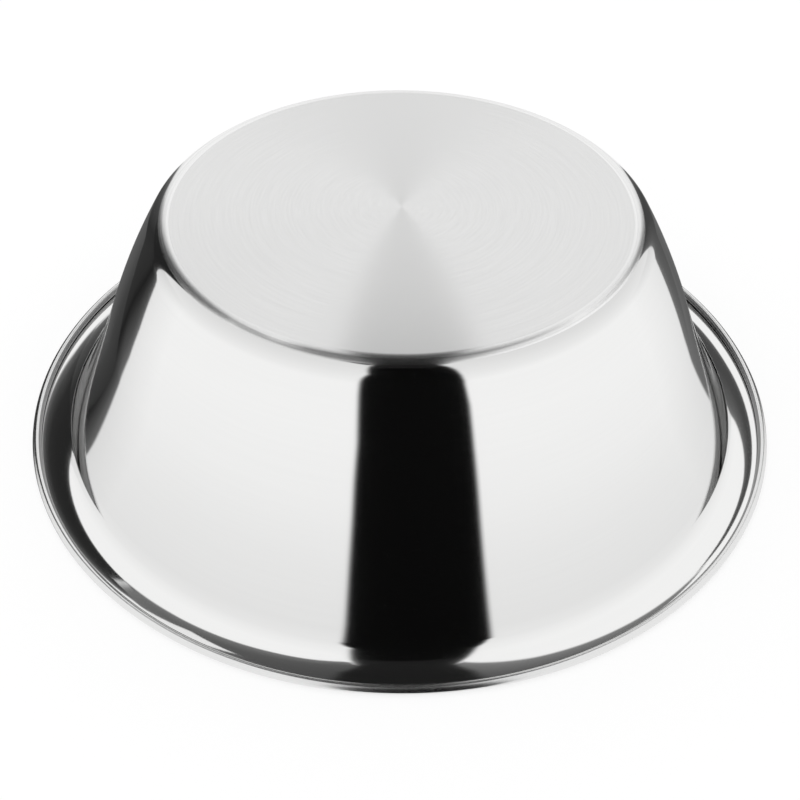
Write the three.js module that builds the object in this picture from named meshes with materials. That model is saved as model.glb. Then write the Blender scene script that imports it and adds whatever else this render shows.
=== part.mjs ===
import * as THREE from 'three';

// A metal pet bowl, upside down on its rim. It is one sheet of stainless steel, drawn in a press
// and curled into a bead at its edge. Millimetres, +Z up, origin at the centre of the rim's plane.

// Driving dimensions. Radii are those of the sheet's outer side.
const rimDiameter = 260; // over the outside of the bead
const bowlHeight = 82;
const baseFlatDiameter = 147;
const sheetThickness = 0.75;
const baseCornerRadius = 9.5; // bend between base and wall
const wallBowRadius = 235; // the upper wall bulges a little
const flareRadius = 205; // the lower wall is hollow, and flares out towards the lip
const flareTurn = 5.6; // degrees flatter at its foot than the straight line that touches the corner
const footRadius = 4; // tight hollow bend between flare and lip
const lipSlope = 59; // degrees from upright, where the lip leaves that bend
const lipRadius = 22; // the lip is a hollow curve that runs out level under the bead
const beadDiameter = 3;
const curlGap = 0.4; // left open between the curl's cut edge and the lip

// Facets
const turnSteps = 72;
const cornerSteps = 5;
const wallSteps = 5;
const flareSteps = 3;
const footSteps = 2;
const lipSteps = 6;
const curlOutSteps = 3;
const curlBackSteps = 7;

// Section of the sheet: x is the radius and y is the height
const beadRadius = beadDiameter / 2;
const beadCentre = new THREE.Vector2(rimDiameter / 2 - beadRadius, beadRadius);
const cornerCentre = new THREE.Vector2(baseFlatDiameter / 2, bowlHeight - baseCornerRadius);

// A hollow curve's centre lies outside the bowl, so its points lie to the left of it and below
const level = -Math.PI / 2;
const lipEnd = THREE.MathUtils.degToRad(lipSlope) - Math.PI;
const lipCentre = new THREE.Vector2(beadCentre.x, sheetThickness + lipRadius);
const lipTop = alongFrom(lipCentre, lipEnd, lipRadius);
const footCentre = alongFrom(lipCentre, lipEnd, lipRadius - footRadius);
const cornerToLip = cornerCentre.distanceTo(lipTop);
const wallLine = angleTo(cornerCentre, lipTop) + Math.acos(baseCornerRadius / cornerToLip) - Math.PI;
const flareEnd = wallLine + THREE.MathUtils.degToRad(flareTurn);
const flareCentre = alongFrom(footCentre, flareEnd, footRadius - flareRadius);

// The wall's arc touches the corner bend from outside and the flare from inside
const wallCentre = arcCentre(
  cornerCentre, wallBowRadius - baseCornerRadius,
  flareCentre, wallBowRadius + flareRadius,
);
const wallTop = angleTo(wallCentre, cornerCentre);
const wallFoot = angleTo(wallCentre, flareCentre);

// The curl turns from the lip outwards, up and back in, until its cut edge comes near the lip
const curlEnd = Math.PI + Math.asin(1 - (sheetThickness + curlGap) / beadRadius);

/** The point at a distance from another, in a direction given as an angle. */
function alongFrom(point, angle, distance) {
  return new THREE.Vector2(
    point.x + distance * Math.cos(angle),
    point.y + distance * Math.sin(angle),
  );
}

/** The direction from one point to another, as an angle. */
function angleTo(from, to) {
  return Math.atan2(to.y - from.y, to.x - from.x);
}

/** The point at two given distances from two others, on the axis side of them. */
function arcCentre(upper, upperDistance, lower, lowerDistance) {
  const apart = upper.distanceTo(lower);
  const along = (upperDistance ** 2 - lowerDistance ** 2 + apart ** 2) / (2 * apart);
  const aside = Math.sqrt(upperDistance ** 2 - along ** 2);
  const direction = angleTo(upper, lower);
  return alongFrom(alongFrom(upper, direction, along), direction - Math.PI / 2, aside);
}

/** Points along an arc, both ends included. */
function arc(centre, radius, from, to, steps) {
  const points = [];
  for (let i = 0; i <= steps; i += 1) {
    points.push(alongFrom(centre, from + ((to - from) * i) / steps, radius));
  }
  return points;
}

/** The side of the sheet that lies a depth below its outer side, from the bead to the base. */
function sheetSide(depth) {
  return [
    ...arc(lipCentre, lipRadius + depth, level, lipEnd, lipSteps),
    ...arc(footCentre, footRadius + depth, lipEnd, flareEnd, footSteps).slice(1),
    ...arc(flareCentre, flareRadius + depth, flareEnd, wallFoot - Math.PI, flareSteps).slice(1),
    ...arc(wallCentre, wallBowRadius - depth, wallFoot, wallTop, wallSteps).slice(1),
    ...arc(cornerCentre, baseCornerRadius - depth, wallTop, Math.PI / 2, cornerSteps).slice(1),
    new THREE.Vector2(0, bowlHeight - depth),
  ];
}

/** One side of the curl, from under the bead to its cut edge, with a point at its widest place. */
function curlSide(radius) {
  return [
    ...arc(beadCentre, radius, level, 0, curlOutSteps),
    ...arc(beadCentre, radius, 0, curlEnd, curlBackSteps).slice(1),
  ];
}

/** The bowl: base, wall, lip and curled bead, all one sheet. */
function bowlShell() {
  const inside = sheetSide(sheetThickness).reverse();
  const beadOutside = curlSide(beadRadius).slice(1);
  const beadInside = curlSide(beadRadius - sheetThickness).reverse();
  const outside = sheetSide(0).slice(1);
  const section = [...inside, ...beadOutside, ...beadInside, ...outside];
  const geometry = new THREE.LatheGeometry(section, turnSteps).rotateX(Math.PI / 2);
  const steel = new THREE.MeshStandardMaterial({ color: 0xd9d9d8, metalness: 1, roughness: 0.2 });
  const mesh = new THREE.Mesh(geometry, steel);
  mesh.name = 'bowl_shell';
  return mesh;
}

const bowl = new THREE.Group();
bowl.add(bowlShell());

export default bowl;
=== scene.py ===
import math

import bmesh
import bpy
from mathutils import Matrix, Vector


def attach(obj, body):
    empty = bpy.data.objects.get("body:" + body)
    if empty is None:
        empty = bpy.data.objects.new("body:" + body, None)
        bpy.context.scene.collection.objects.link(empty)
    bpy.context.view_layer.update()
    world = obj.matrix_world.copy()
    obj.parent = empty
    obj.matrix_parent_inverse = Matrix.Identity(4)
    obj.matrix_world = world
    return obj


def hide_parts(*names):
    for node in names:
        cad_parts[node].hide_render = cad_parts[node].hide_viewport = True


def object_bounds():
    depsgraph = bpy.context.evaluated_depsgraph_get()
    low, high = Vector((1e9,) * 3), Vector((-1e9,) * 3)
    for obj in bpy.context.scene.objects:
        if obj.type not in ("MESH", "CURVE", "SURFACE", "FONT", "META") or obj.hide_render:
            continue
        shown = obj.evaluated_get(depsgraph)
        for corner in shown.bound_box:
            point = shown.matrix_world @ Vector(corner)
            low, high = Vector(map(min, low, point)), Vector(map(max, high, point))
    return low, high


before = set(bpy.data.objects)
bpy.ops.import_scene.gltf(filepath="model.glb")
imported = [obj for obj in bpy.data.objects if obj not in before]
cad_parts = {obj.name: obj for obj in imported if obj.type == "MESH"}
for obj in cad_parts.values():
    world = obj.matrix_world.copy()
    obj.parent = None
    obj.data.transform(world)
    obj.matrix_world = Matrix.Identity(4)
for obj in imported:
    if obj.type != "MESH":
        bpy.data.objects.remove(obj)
cad_low, cad_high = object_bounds()

# Driving sizes in metres. The rim's radius and the height come from the CAD model's bounds, and the
# others are those of the CAD section. Radii are those of the sheet's outer side.
rim_radius = cad_high.x
bowl_height = cad_high.z
base_flat_radius = 0.0735
sheet_thickness = 0.00075
base_corner_radius = 0.0095
wall_bow_radius = 0.235
flare_radius = 0.205
flare_turn = math.radians(5.6)
foot_radius = 0.004
lip_slope = math.radians(59)
lip_radius = 0.022
bead_radius = 0.0015
curl_gap = 0.0004

# Where one finish gives way to the next
satin_edge_radius = 0.0742  # the brushed finish of the base ends here, on the corner bend
ringed_edge_radius = 0.0776  # and coarser turning rings go on to here
curl_shade_start = math.radians(118)  # past its top the curl faces the lip, and from here on it is painted dark as shade

# Facets: steps round the axis, and along each stretch of the section
turn_steps = 360
lip_steps = 28
foot_steps = 8
flare_steps = 20
wall_steps = 24
corner_steps = 10
ringed_steps = 6
satin_steps = 2
bead_out_steps = 10
bead_up_steps = 12
curl_steps = 10
same_point = 1e-7  # points of the section nearer than this are one point
sharp_angle = math.radians(50)  # only the curl's cut edge is sharper than this

# The photograph's camera, in metres and pixels of an 800-pixel frame
camera_distance = 0.4752
camera_elevation = math.radians(41.86)
camera_aim_height = -0.0014
camera_roll = math.radians(0.49)
focal_pixels = 1307.6
frame_pixels = 800
sensor_width = 36

# The studio: dark cards stand this far away all round the bowl, before a white world
studio_radius = 6.0
floor_half_width = 4.0
floor_reflectance = 0.3
floor_glow = 0.7  # seen by the camera only, it brings the lit floor up to white
lamp_place = (-0.8, -0.4, 1.6)
lamp_size = 1.2
lamp_watts = 2.0

# Brightness of the steel, as red, green and blue
steel_reflectance = 0.875
polished_colour = (steel_reflectance, steel_reflectance, steel_reflectance - 0.005)
ringed_colour = (0.85, 0.85, 0.847)
satin_colour = (0.755, 0.755, 0.752)
bead_colour = (0.78, 0.78, 0.777)
# The curl's colour is painted shade: dark where the curl faces the lip and inside the bead's hollow
curl_painted_shade_colour = (0.3, 0.3, 0.3)

# Painted shade on the polished steel over the bowl's height, darker towards the foot crease and over
# the corner bend: (share of the height, share of the brightness)
wall_painted_shade = [
    (0.0, 1.0), (0.035, 1.0), (0.06, 0.9), (0.1, 0.86), (0.3, 0.9), (0.55, 0.965),
    (0.8, 1.0), (0.94, 1.0), (0.99, 0.8),
]
roughness_spread = 0.15
quarter_turn = 0.25  # the marks run round the bowl, so that reflections spread up and down it

# A shade in a picture stands for the brightness ((shade + offset) / (1 + offset)) ** power
shade_offset = 0.055
shade_power = 2.4


def along_from(point, angle, distance):
    """The point at a distance from another in the section, in a direction given as an angle."""
    return Vector((point.x + distance * math.cos(angle), point.y + distance * math.sin(angle)))


def angle_to(start, end):
    """The direction from one point of the section to another, as an angle."""
    return math.atan2(end.y - start.y, end.x - start.x)


def arc_centre(upper, upper_distance, lower, lower_distance):
    """The point at two given distances from two others, on the axis side of them."""
    apart = (upper - lower).length
    along = (upper_distance**2 - lower_distance**2 + apart**2) / (2 * apart)
    aside = math.sqrt(upper_distance**2 - along**2)
    direction = angle_to(upper, lower)
    return along_from(along_from(upper, direction, along), direction - math.pi / 2, aside)


def arc(centre, radius, start, end, steps):
    """Points along an arc, both ends included."""
    return [
        along_from(centre, start + (end - start) * i / steps, radius)
        for i in range(steps + 1)
    ]


# Section of the sheet: x is the radius and y is the height, as in the CAD part. A hollow curve's
# centre lies outside the bowl, so its points lie to the left of it and below.
level = -math.pi / 2  # where an arc is lowest and runs level
bead_centre = Vector((rim_radius - bead_radius, bead_radius))
corner_centre = Vector((base_flat_radius, bowl_height - base_corner_radius))
lip_end = lip_slope - math.pi
lip_centre = Vector((bead_centre.x, sheet_thickness + lip_radius))
lip_top = along_from(lip_centre, lip_end, lip_radius)
foot_centre = along_from(lip_centre, lip_end, lip_radius - foot_radius)

# The flare's end is set against the straight line from the corner bend to the top of the lip
corner_to_lip = (lip_top - corner_centre).length
line_turn = math.acos(base_corner_radius / corner_to_lip)
flare_end = angle_to(corner_centre, lip_top) + line_turn - math.pi + flare_turn
flare_centre = along_from(foot_centre, flare_end, foot_radius - flare_radius)

# The wall's arc touches the corner bend from outside and the flare from inside
wall_centre = arc_centre(
    corner_centre, wall_bow_radius - base_corner_radius,
    flare_centre, wall_bow_radius + flare_radius,
)
wall_top = angle_to(wall_centre, corner_centre)
wall_foot = angle_to(wall_centre, flare_centre)

# The curl turns from the lip outwards, up and back in, until its cut edge comes near the lip
curl_end = math.pi + math.asin(1 - (sheet_thickness + curl_gap) / bead_radius)
satin_edge = math.acos((satin_edge_radius - base_flat_radius) / base_corner_radius)
ringed_edge = math.acos((ringed_edge_radius - base_flat_radius) / base_corner_radius)


def sheet_side(depth):
    """The polished stretches of the sheet at a depth below its outer side, from bead to base."""
    return [
        arc(lip_centre, lip_radius + depth, level, lip_end, lip_steps),
        arc(foot_centre, foot_radius + depth, lip_end, flare_end, foot_steps),
        arc(flare_centre, flare_radius + depth, flare_end, wall_foot - math.pi, flare_steps),
        arc(wall_centre, wall_bow_radius - depth, wall_foot, wall_top, wall_steps),
        arc(corner_centre, base_corner_radius - depth, wall_top, ringed_edge, corner_steps),
    ]


def ringed_stretch(depth):
    """The upper part of the corner bend at a depth below its outer side, where rings are turned."""
    return arc(corner_centre, base_corner_radius - depth, ringed_edge, satin_edge, ringed_steps)


def satin_stretch(depth):
    """The brushed base at a depth below its outer side, from the edge of the finish to the axis."""
    bend = arc(corner_centre, base_corner_radius - depth, satin_edge, math.pi / 2, satin_steps)
    return bend + [Vector((0, bowl_height - depth))]


def bead_stretch(radius):
    """The polished part of the curl, from under the bead over its widest place to its top."""
    outward = arc(bead_centre, radius, level, 0, bead_out_steps)
    upward = arc(bead_centre, radius, 0, curl_shade_start, bead_up_steps)
    return outward + upward[1:]


def curl_stretch(radius):
    """The part of the curl painted dark as shade, from its top down to its cut edge."""
    return arc(bead_centre, radius, curl_shade_start, curl_end, curl_steps)


def backwards(points):
    """The same points, walked from the other end."""
    return list(reversed(points))


def bowl_section():
    """Stretches of the whole section as (points, finish), walked from the inside's middle out
    to the rim and back over the outside to the axis."""
    inside = sheet_side(sheet_thickness)
    inside += [ringed_stretch(sheet_thickness), satin_stretch(sheet_thickness)]
    section = [(backwards(points), "inside") for points in reversed(inside)]
    hollow_radius = bead_radius - sheet_thickness
    # The curl's stretches and the hollow inside the bead carry the curl's painted shade
    section += [
        (bead_stretch(bead_radius), "bead"),
        (curl_stretch(bead_radius), "curl"),
        (backwards(curl_stretch(hollow_radius)), "curl"),
        (backwards(bead_stretch(hollow_radius)), "curl"),
    ]
    section += [(points, "polished") for points in sheet_side(0)]
    section += [(ringed_stretch(0), "ringed"), (satin_stretch(0), "satin")]
    return section


def new_object(name, mesh):
    """A new object in the scene with that mesh."""
    made = bpy.data.objects.new(name, mesh)
    bpy.context.scene.collection.objects.link(made)
    return made


def turned_ring(maker, point):
    """The corners on the circle that a point of the section turns through. On the axis it is
    one corner, repeated."""
    if point.x < same_point:
        return [maker.verts.new((0, 0, point.y))] * turn_steps
    ring = []
    for i in range(turn_steps):
        turn = 2 * math.pi * i / turn_steps
        ring.append(maker.verts.new((point.x * math.cos(turn), point.x * math.sin(turn), point.y)))
    return ring


def join_rings(maker, first, second, finish_number):
    """The faces between two rings, all of one finish. A corner on the axis counts once."""
    for i in range(turn_steps):
        j = (i + 1) % turn_steps
        corners = [first[i], first[j], second[j], second[i]]
        face = maker.faces.new(list(dict.fromkeys(corners)))
        face.material_index = finish_number
        face.smooth = True


def bowl_piece(materials):
    """The pressed bowl, turned from its section as one closed mesh with a finish for each face."""
    finishes = list(materials)
    mesh = bpy.data.meshes.new("pressed_bowl")
    for finish in finishes:
        mesh.materials.append(materials[finish])
    maker = bmesh.new()
    last_point = None
    last_ring = None
    for points, finish in bowl_section():
        for point in points:
            if last_point is not None and (point - last_point).length < same_point:
                continue
            this_ring = turned_ring(maker, point)
            if last_ring is not None:
                join_rings(maker, last_ring, this_ring, finishes.index(finish))
            last_point = point
            last_ring = this_ring
    maker.to_mesh(mesh)
    maker.free()
    mesh.set_sharp_from_angle(angle=sharp_angle)
    return new_object("pressed_bowl", mesh)


class Nodes:
    """A short way to write a node tree: each call adds a node, sets its inputs and returns it,
    or its output. An input is given by its name, or by its number after an underscore."""

    def __init__(self, tree):
        self.tree = tree

    def add(self, kind, settings=None, **inputs):
        node = self.tree.nodes.new(kind)
        for name, value in (settings or {}).items():
            setattr(node, name, value)
        for name, value in inputs.items():
            key = int(name[1:]) if name[0] == "_" else name.replace("_", " ")
            if isinstance(value, bpy.types.NodeSocket):
                self.tree.links.new(value, node.inputs[key])
            else:
                node.inputs[key].default_value = value
        return node

    def math(self, operation, first, second):
        settings = {"operation": operation}
        return self.add("ShaderNodeMath", settings, _0=first, _1=second).outputs[0]

    def vector(self, operation, output, first, **inputs):
        settings = {"operation": operation}
        return self.add("ShaderNodeVectorMath", settings, _0=first, **inputs).outputs[output]

    def parts(self, vector):
        """The X, Y and Z of a vector."""
        return self.add("ShaderNodeSeparateXYZ", Vector=vector).outputs

    def remap(self, value, low, high):
        """A value from 0 to 1, spread from low to high."""
        return self.add("ShaderNodeMapRange", Value=value, To_Min=low, To_Max=high).outputs[0]

    def ramp(self, value, stops):
        """A value looked up between stops, each a (place from 0 to 1, value)."""
        node = self.add("ShaderNodeValToRGB", Fac=value)
        elements = node.color_ramp.elements
        elements.remove(elements[1])
        elements[0].position = stops[0][0]
        elements[0].color = (stops[0][1],) * 3 + (1,)
        for place, height in stops[1:]:
            elements.new(place).color = (height, height, height, 1)
        return node.outputs[0]

    def noise(self, vector, scale, detail):
        return self.add("ShaderNodeTexNoise", Vector=vector, Scale=scale, Detail=detail).outputs[0]


def new_material(name):
    """A new material with only an output, and the means to write its nodes."""
    material = bpy.data.materials.new(name)
    material.use_nodes = True
    material.node_tree.nodes.clear()
    nodes = Nodes(material.node_tree)
    output = nodes.add("ShaderNodeOutputMaterial")
    return material, nodes, output


def turned_coordinates(nodes, place, rings_per_metre, drift):
    """Coordinates for marks left by turning: fine from ring to ring, slow round each ring."""
    flat = nodes.vector("MULTIPLY", 0, place, _1=(1, 1, 0))
    radius = nodes.vector("LENGTH", "Value", flat)
    heading = nodes.parts(nodes.vector("NORMALIZE", 0, flat))
    along = nodes.math("SUBTRACT", radius, nodes.parts(place)["Z"])
    return nodes.add(
        "ShaderNodeCombineXYZ",
        X=nodes.math("MULTIPLY", along, rings_per_metre),
        Y=nodes.math("MULTIPLY", heading["X"], drift),
        Z=nodes.math("MULTIPLY", heading["Y"], drift),
    ).outputs[0]


def steel_material(
    name, colour, roughness, anisotropy, rings_per_metre, drift, mark_depth, mark_shade, painted_height_shade=None,
):
    """Stainless steel with turning marks, which change its colour, roughness and height a little.
    Where a shade over the height is given, it is painted shade: the steel's brightness over the
    bowl's height."""
    material, nodes, output = new_material(name)
    place = nodes.add("ShaderNodeTexCoord").outputs["Object"]
    turned = turned_coordinates(nodes, place, rings_per_metre, drift)
    marks = nodes.noise(turned, scale=1.0, detail=4.0)
    shade = nodes.remap(marks, 1 - mark_shade, 1 + mark_shade)
    # Painted shade: the colour is darkened by height where a shade over the height is given
    if painted_height_shade:
        share = nodes.math("DIVIDE", nodes.parts(place)["Z"], bowl_height)
        shade = nodes.math("MULTIPLY", shade, nodes.ramp(share, painted_height_shade))
    bump = nodes.add("ShaderNodeBump", Strength=1.0, Distance=mark_depth, Height=marks)
    tangent = nodes.add("ShaderNodeTangent", {"direction_type": "RADIAL", "axis": "Z"})
    least_rough = roughness * (1 - roughness_spread)
    most_rough = roughness * (1 + roughness_spread)
    shader = nodes.add(
        "ShaderNodeBsdfPrincipled",
        Base_Color=nodes.vector("SCALE", 0, colour, Scale=shade),
        Metallic=1.0,
        Roughness=nodes.remap(marks, least_rough, most_rough),
        Anisotropic=anisotropy,
        Anisotropic_Rotation=quarter_turn,
        Normal=bump.outputs[0],
        Tangent=tangent.outputs[0],
    )
    nodes.tree.links.new(shader.outputs[0], output.inputs["Surface"])
    return material


def bowl_finishes():
    """The bowl's materials, by the names of the finishes in its section."""
    return {
        # The polished steel carries painted shade over the wall's height
        "polished": steel_material(
            "polished_steel", polished_colour, roughness=0.06, anisotropy=0.0,
            rings_per_metre=700, drift=1.5, mark_depth=3e-7, mark_shade=0.012, painted_height_shade=wall_painted_shade,
        ),
        "ringed": steel_material(
            "ringed_steel", ringed_colour, roughness=0.18, anisotropy=0.96,
            rings_per_metre=1500, drift=0.8, mark_depth=4e-6, mark_shade=0.2,
        ),
        "satin": steel_material(
            "brushed_steel", satin_colour, roughness=0.165, anisotropy=0.96,
            rings_per_metre=1400, drift=3.0, mark_depth=3e-6, mark_shade=0.05,
        ),
        "bead": steel_material(
            "bead_steel", bead_colour, roughness=0.2, anisotropy=0.0,
            rings_per_metre=900, drift=1.5, mark_depth=4e-7, mark_shade=0.01,
        ),
        # The curl's dark colour is painted shade, not a finish of the steel
        "curl": steel_material(
            "curl_painted_shade", curl_painted_shade_colour, roughness=0.3, anisotropy=0.0,
            rings_per_metre=900, drift=1.5, mark_depth=1e-6, mark_shade=0.03,
        ),
        "inside": steel_material(
            "inside_steel", polished_colour, roughness=0.24, anisotropy=0.9,
            rings_per_metre=1400, drift=3.0, mark_depth=2e-6, mark_shade=0.03,
        ),
    }


def studio_point(across, back):
    """The point of the studio in a direction, given as degrees from straight up: across to the
    right, and back away from the camera."""
    from_up = math.radians(math.hypot(across, back))
    turn = math.atan2(across, back)
    return studio_radius * Vector((
        math.sin(from_up) * math.sin(turn),
        math.sin(from_up) * math.cos(turn),
        math.cos(from_up),
    ))


def glow_to_show(shade):
    """How strongly a card glows where the polished steel shows it in a shade, 0 black to 1 white."""
    return ((shade + shade_offset) / (1 + shade_offset)) ** shade_power / steel_reflectance


def card(name, left, right, shades, nearer=1.0):
    """A glowing card which only the metal sees, as a ladder between its left and right edges.
    Its shades are (share of the way across, shade that the polished steel shows). A card that
    lies before another is nearer to the bowl."""
    points = []
    glows = []
    for start, end in zip(left, right):
        for share, shade in shades:
            across = start[0] + (end[0] - start[0]) * share
            back = start[1] + (end[1] - start[1]) * share
            points.append(nearer * studio_point(across, back))
            glows.append(glow_to_show(shade))
    columns = len(shades)
    faces = [
        (corner + i, corner + i + 1, corner + columns + i + 1, corner + columns + i)
        for corner in range(0, columns * (len(left) - 1), columns)
        for i in range(columns - 1)
    ]
    mesh = bpy.data.meshes.new(name)
    mesh.from_pydata(points, [], faces)
    mesh.attributes.new("glow", "FLOAT", "POINT").data.foreach_set("value", glows)
    material, nodes, output = new_material(name)
    strength = nodes.add("ShaderNodeAttribute", {"attribute_name": "glow"}).outputs["Fac"]
    emission = nodes.add("ShaderNodeEmission", Color=(1, 1, 1, 1), Strength=strength)
    nodes.tree.links.new(emission.outputs[0], output.inputs["Surface"])
    mesh.materials.append(material)
    made = new_object(name, mesh)
    made.visible_camera = False
    made.visible_diffuse = False
    made.visible_shadow = False


def front_cards():
    """The dark gap at the camera's side, which stands black in the front of the wall."""
    card(
        "front_gap",
        left=[
            (-34, -125), (-27.3, -94), (-25.3, -87), (-23, -80), (-21.9, -71), (-20.4, -66),
            (-16.5, -52), (-11.8, -38), (-10, -24), (-7.8, -11), (-5.8, -3),
        ],
        right=[
            (59, -118), (45.7, -88), (42.3, -82), (39, -76), (35.6, -69), (32.8, -66),
            (28, -55), (21.5, -38), (16.5, -24), (11.4, -11), (8, -3),
        ],
        shades=[
            (0, 0.93), (0.02, 0.8), (0.035, 0.47), (0.055, 0.1), (0.08, 0.04),
            (0.92, 0.04), (0.945, 0.1), (0.965, 0.47), (0.98, 0.8), (1, 0.93),
        ],
    )


def ceiling_cards():
    """The grey ceiling, its dark middle and a window in it, which the base and its bend show."""
    card(
        "ceiling",
        left=[(-8, -7), (-12, -2), (-17, 2.5), (-22, 8), (-27, 13.5), (-31, 19), (-24, 28)],
        right=[(9.5, -6), (11, -1), (13, 5), (15, 11), (18.5, 18), (22, 24), (26, 31)],
        shades=[
            (0, 0.9), (0.04, 0.44), (0.25, 0.34), (0.5, 0.28), (0.75, 0.36), (0.96, 0.48), (1, 0.9),
        ],
    )
    card(
        "ceiling_core",
        left=[(-7.4, -13), (-5.5, -4), (-6.2, 10), (-4.6, 27), (-4.3, 44)],
        right=[(11.5, -13), (8, -4), (8, 10), (6, 27), (5.5, 44)],
        shades=[(0, 0.3), (0.06, 0.11), (0.94, 0.11), (1, 0.3)],
        nearer=0.99,
    )
    card(
        "ceiling_window",
        left=[(-19, 19.5), (-19, 34)],
        right=[(-13, 21.5), (-14, 34)],
        shades=[(0, 0.9), (1, 0.9)],
        nearer=0.98,
    )


def left_cards():
    """The dark band at the left, in three cards from high up to below level, and the studio's
    fall in brightness beside it."""
    card(
        "left_band_high",
        left=[(-29, 19), (-38, 25), (-50, 32), (-60, 37), (-80, 44), (-88, 47.5)],
        right=[(-20, 19), (-20, 30), (-21, 39), (-25, 46), (-33, 56), (-38, 70)],
        shades=[
            (0, 0.9), (0.02, 0.36), (0.08, 0.2), (0.2, 0.14), (0.5, 0.15), (0.7, 0.17),
            (0.85, 0.26), (0.96, 0.4), (1, 0.9),
        ],
    )
    card(
        "left_band_low",
        left=[(-80, 43), (-94, 46), (-97.3, 50), (-98.5, 57), (-103, 65)],
        right=[(-38, 65), (-39, 80), (-38, 92), (-35, 104), (-34, 112)],
        shades=[
            (0, 0.9), (0.02, 0.4), (0.08, 0.3), (0.17, 0.18), (0.22, 0.12), (0.27, 0.17),
            (0.4, 0.19), (0.6, 0.19), (0.85, 0.3), (0.96, 0.42), (1, 0.9),
        ],
        nearer=0.99,
    )
    card(
        "left_band_far",
        left=[(-102, 63), (-107, 69), (-124, 82)],
        right=[(-34, 108), (-32, 120), (-34, 144)],
        shades=[
            (0, 0.9), (0.03, 0.38), (0.15, 0.2), (0.4, 0.25), (0.6, 0.32), (0.97, 0.36), (1, 0.9),
        ],
        nearer=0.98,
    )
    card(
        "left_falloff",
        left=[(-56, 42), (-74, 50), (-86, 54), (-105, 70)],
        right=[(-70, 10), (-95, 12), (-105, 12), (-130, 12)],
        shades=[(0, 0.87), (0.5, 0.915), (1, 0.945)],
        nearer=1.06,
    )


def right_cards():
    """The dark band at the right, in two cards, and the studio's fall in brightness beside it."""
    card(
        "right_band",
        left=[(25, 29), (29, 40), (34, 48), (38, 57), (40, 70), (39, 81), (37, 94), (35, 104)],
        right=[(28, 30), (36, 37.5), (47, 44.5), (58, 52), (71, 65), (81, 76), (83.5, 80), (81, 92)],
        shades=[
            (0, 0.9), (0.05, 0.36), (0.2, 0.28), (0.45, 0.28), (0.8, 0.36), (0.96, 0.43), (1, 0.9),
        ],
    )
    card(
        "right_band_far",
        left=[(36, 98), (32, 114), (20, 140)],
        right=[(81, 90), (86, 106), (96, 130)],
        shades=[(0, 0.9), (0.05, 0.4), (0.5, 0.36), (0.96, 0.42), (1, 0.9)],
        nearer=0.99,
    )
    card(
        "right_falloff",
        left=[(54, 58), (72, 78), (80, 88), (90, 98)],
        right=[(80, 20), (95, 25), (108, 28), (125, 30)],
        shades=[(0, 0.875), (0.5, 0.915), (1, 0.945)],
        nearer=1.06,
    )


def floor():
    """A pale floor that keeps the bowl's shadow. The metal sees the white studio in its place."""
    half = floor_half_width
    corners = [(-half, -half, 0), (half, -half, 0), (half, half, 0), (-half, half, 0)]
    mesh = bpy.data.meshes.new("floor")
    mesh.from_pydata(corners, [], [(0, 1, 2, 3)])
    material, nodes, output = new_material("white_floor")
    lit = nodes.add("ShaderNodeBsdfDiffuse", Color=(floor_reflectance,) * 3 + (1,))
    seen = nodes.add("ShaderNodeLightPath").outputs["Is Camera Ray"]
    strength = nodes.math("MULTIPLY", seen, floor_glow)
    glow = nodes.add("ShaderNodeEmission", Color=(1, 1, 1, 1), Strength=strength)
    both = nodes.add("ShaderNodeAddShader", _0=lit.outputs[0], _1=glow.outputs[0])
    nodes.tree.links.new(both.outputs[0], output.inputs["Surface"])
    mesh.materials.append(material)
    ground = new_object("floor", mesh)
    ground.visible_glossy = False


def white_studio():
    """White all round, at the strength at which white is white."""
    world = bpy.data.worlds.new("white_studio")
    world.use_nodes = True
    bpy.context.scene.world = world
    background = world.node_tree.nodes["Background"]
    background.inputs["Color"].default_value = (1, 1, 1, 1)
    background.inputs["Strength"].default_value = 1.0


def soft_lamp():
    """A soft square lamp aimed at the bowl, for the shadow on the floor."""
    light = bpy.data.lights.new("key_lamp", "AREA")
    light.size = lamp_size
    light.energy = lamp_watts
    lamp = bpy.data.objects.new("key_lamp", light)
    bpy.context.scene.collection.objects.link(lamp)
    lamp.location = lamp_place
    lamp.rotation_euler = (-Vector(lamp_place)).to_track_quat("-Z", "Y").to_euler()
    lamp.visible_glossy = False


def photo_camera():
    """The camera at the photograph's place, with its slight roll."""
    data = bpy.data.cameras.new("camera")
    data.sensor_width = sensor_width
    data.lens = focal_pixels / frame_pixels * sensor_width
    camera = bpy.data.objects.new("camera", data)
    bpy.context.scene.collection.objects.link(camera)
    place = Matrix.Translation((
        0,
        -camera_distance * math.cos(camera_elevation),
        camera_aim_height + camera_distance * math.sin(camera_elevation),
    ))
    tilt = Matrix.Rotation(math.pi / 2 - camera_elevation, 4, "X")
    roll = Matrix.Rotation(camera_roll, 4, "Z")
    camera.matrix_world = place @ tilt @ roll
    bpy.context.scene.camera = camera


photo_camera()
white_studio()
soft_lamp()
floor()
front_cards()
ceiling_cards()
left_cards()
right_cards()

bowl = bowl_piece(bowl_finishes())
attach(bowl, "root")
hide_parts("bowl_shell")

bpy.context.scene.view_settings.view_transform = "Standard"
